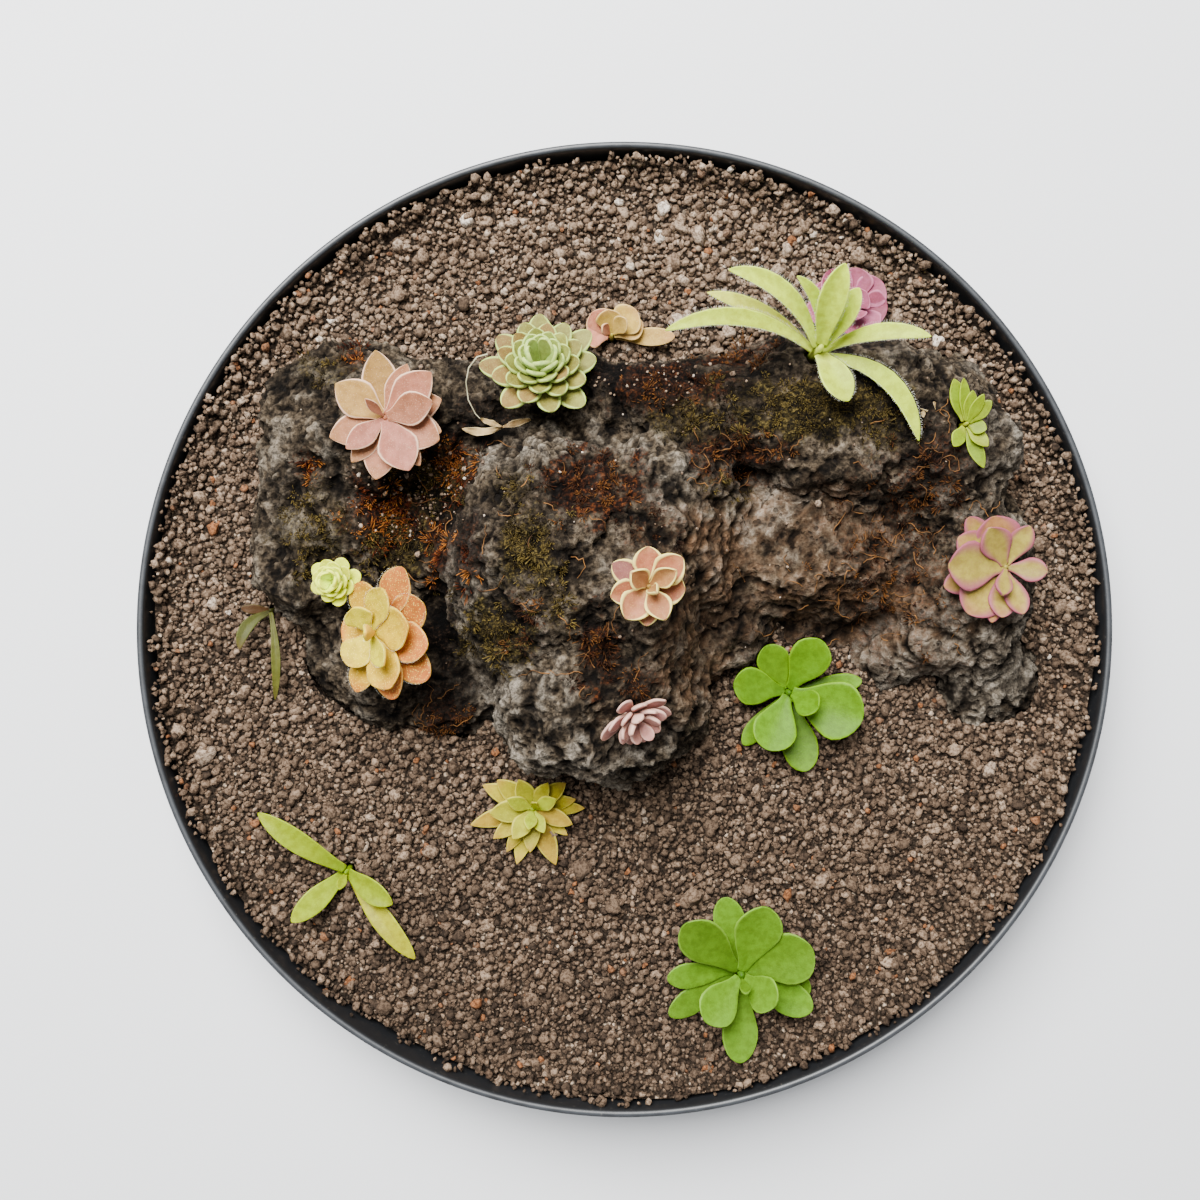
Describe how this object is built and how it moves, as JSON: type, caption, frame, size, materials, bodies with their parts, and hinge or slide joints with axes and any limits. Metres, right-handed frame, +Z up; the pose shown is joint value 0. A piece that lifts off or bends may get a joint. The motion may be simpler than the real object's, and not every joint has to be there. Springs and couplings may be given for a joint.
{
  "type": "planted butterwort dish",
  "caption": "Shallow round black plastic dish of pale grit holding a mossy lava rock, with butterwort rosettes in green, lime, pink and cream on the rock and in the grit.",
  "frame": {"origin": "centre of the dish's underside, on the surface it rests on", "axes": "+Z up; +X to the right and +Y to the top of the picture, which looks straight down"},
  "size_m": [0.305, 0.305, 0.094],
  "materials": {
    "black_plastic": "black injection-moulded plastic, semi-gloss, with a worn paler rim",
    "gritty_substrate": "rough mixed grit: tan, grey-brown and off-white grains with dark gaps",
    "lava_stone": "rough pitted dark grey to brown lava with rust-coloured layers and moss",
    "blush_leaf": "dusty pink fleshy leaves with pale raised margins, waxy plant tissue",
    "sage_leaf": "pale grey-green leaf faces with a cream-yellow margin, waxy plant tissue",
    "apricot_leaf": "yellow to salmon leaves with a frosting of gland hairs, waxy plant tissue",
    "longleaf_leaf": "pale lime strap leaves with short white marginal hairs, waxy plant tissue",
    "magenta_leaf": "pink translucent leaves, waxy plant tissue",
    "tuft_leaf": "bright yellow-green small leaves, waxy plant tissue",
    "rosy_leaf": "yellow-peach thick leaves with pink rims, waxy plant tissue",
    "lime_leaf": "pale lime tight rosette, waxy plant tissue",
    "honey_leaf": "honey and blush leaves, waxy plant tissue",
    "creamedge_leaf": "salmon leaf faces with thick cream margins, waxy plant tissue",
    "lilac_leaf": "whitish-pink leaf backs with magenta throats, waxy plant tissue",
    "fern_green_leaf": "smooth bright green leaves with paler tips, waxy plant tissue",
    "straw_leaf": "lime centre running to straw and peach tips, waxy plant tissue",
    "apple_leaf": "smooth apple-green leaves, waxy plant tissue",
    "ribbon_leaf": "yellow-green ribbons, one tip dried cream, waxy plant tissue",
    "olive_leaf": "olive and reddish-brown narrow leaves, waxy plant tissue"
  },
  "bodies": {
    "root": {"dish": "black_plastic", "substrate": "gritty_substrate", "lava_rock": "lava_stone", "butterwort_blush": "blush_leaf", "butterwort_sage": "sage_leaf", "butterwort_apricot": "apricot_leaf", "butterwort_longleaf": "longleaf_leaf", "butterwort_magenta": "magenta_leaf", "butterwort_tuft": "tuft_leaf", "butterwort_rosy": "rosy_leaf", "butterwort_lime": "lime_leaf", "butterwort_honey": "honey_leaf", "butterwort_creamedge": "creamedge_leaf", "butterwort_lilac": "lilac_leaf", "butterwort_fern_green": "fern_green_leaf", "butterwort_straw": "straw_leaf", "butterwort_apple": "apple_leaf", "butterwort_ribbon": "ribbon_leaf", "butterwort_olive": "olive_leaf"}
  },
  "joints": []
}
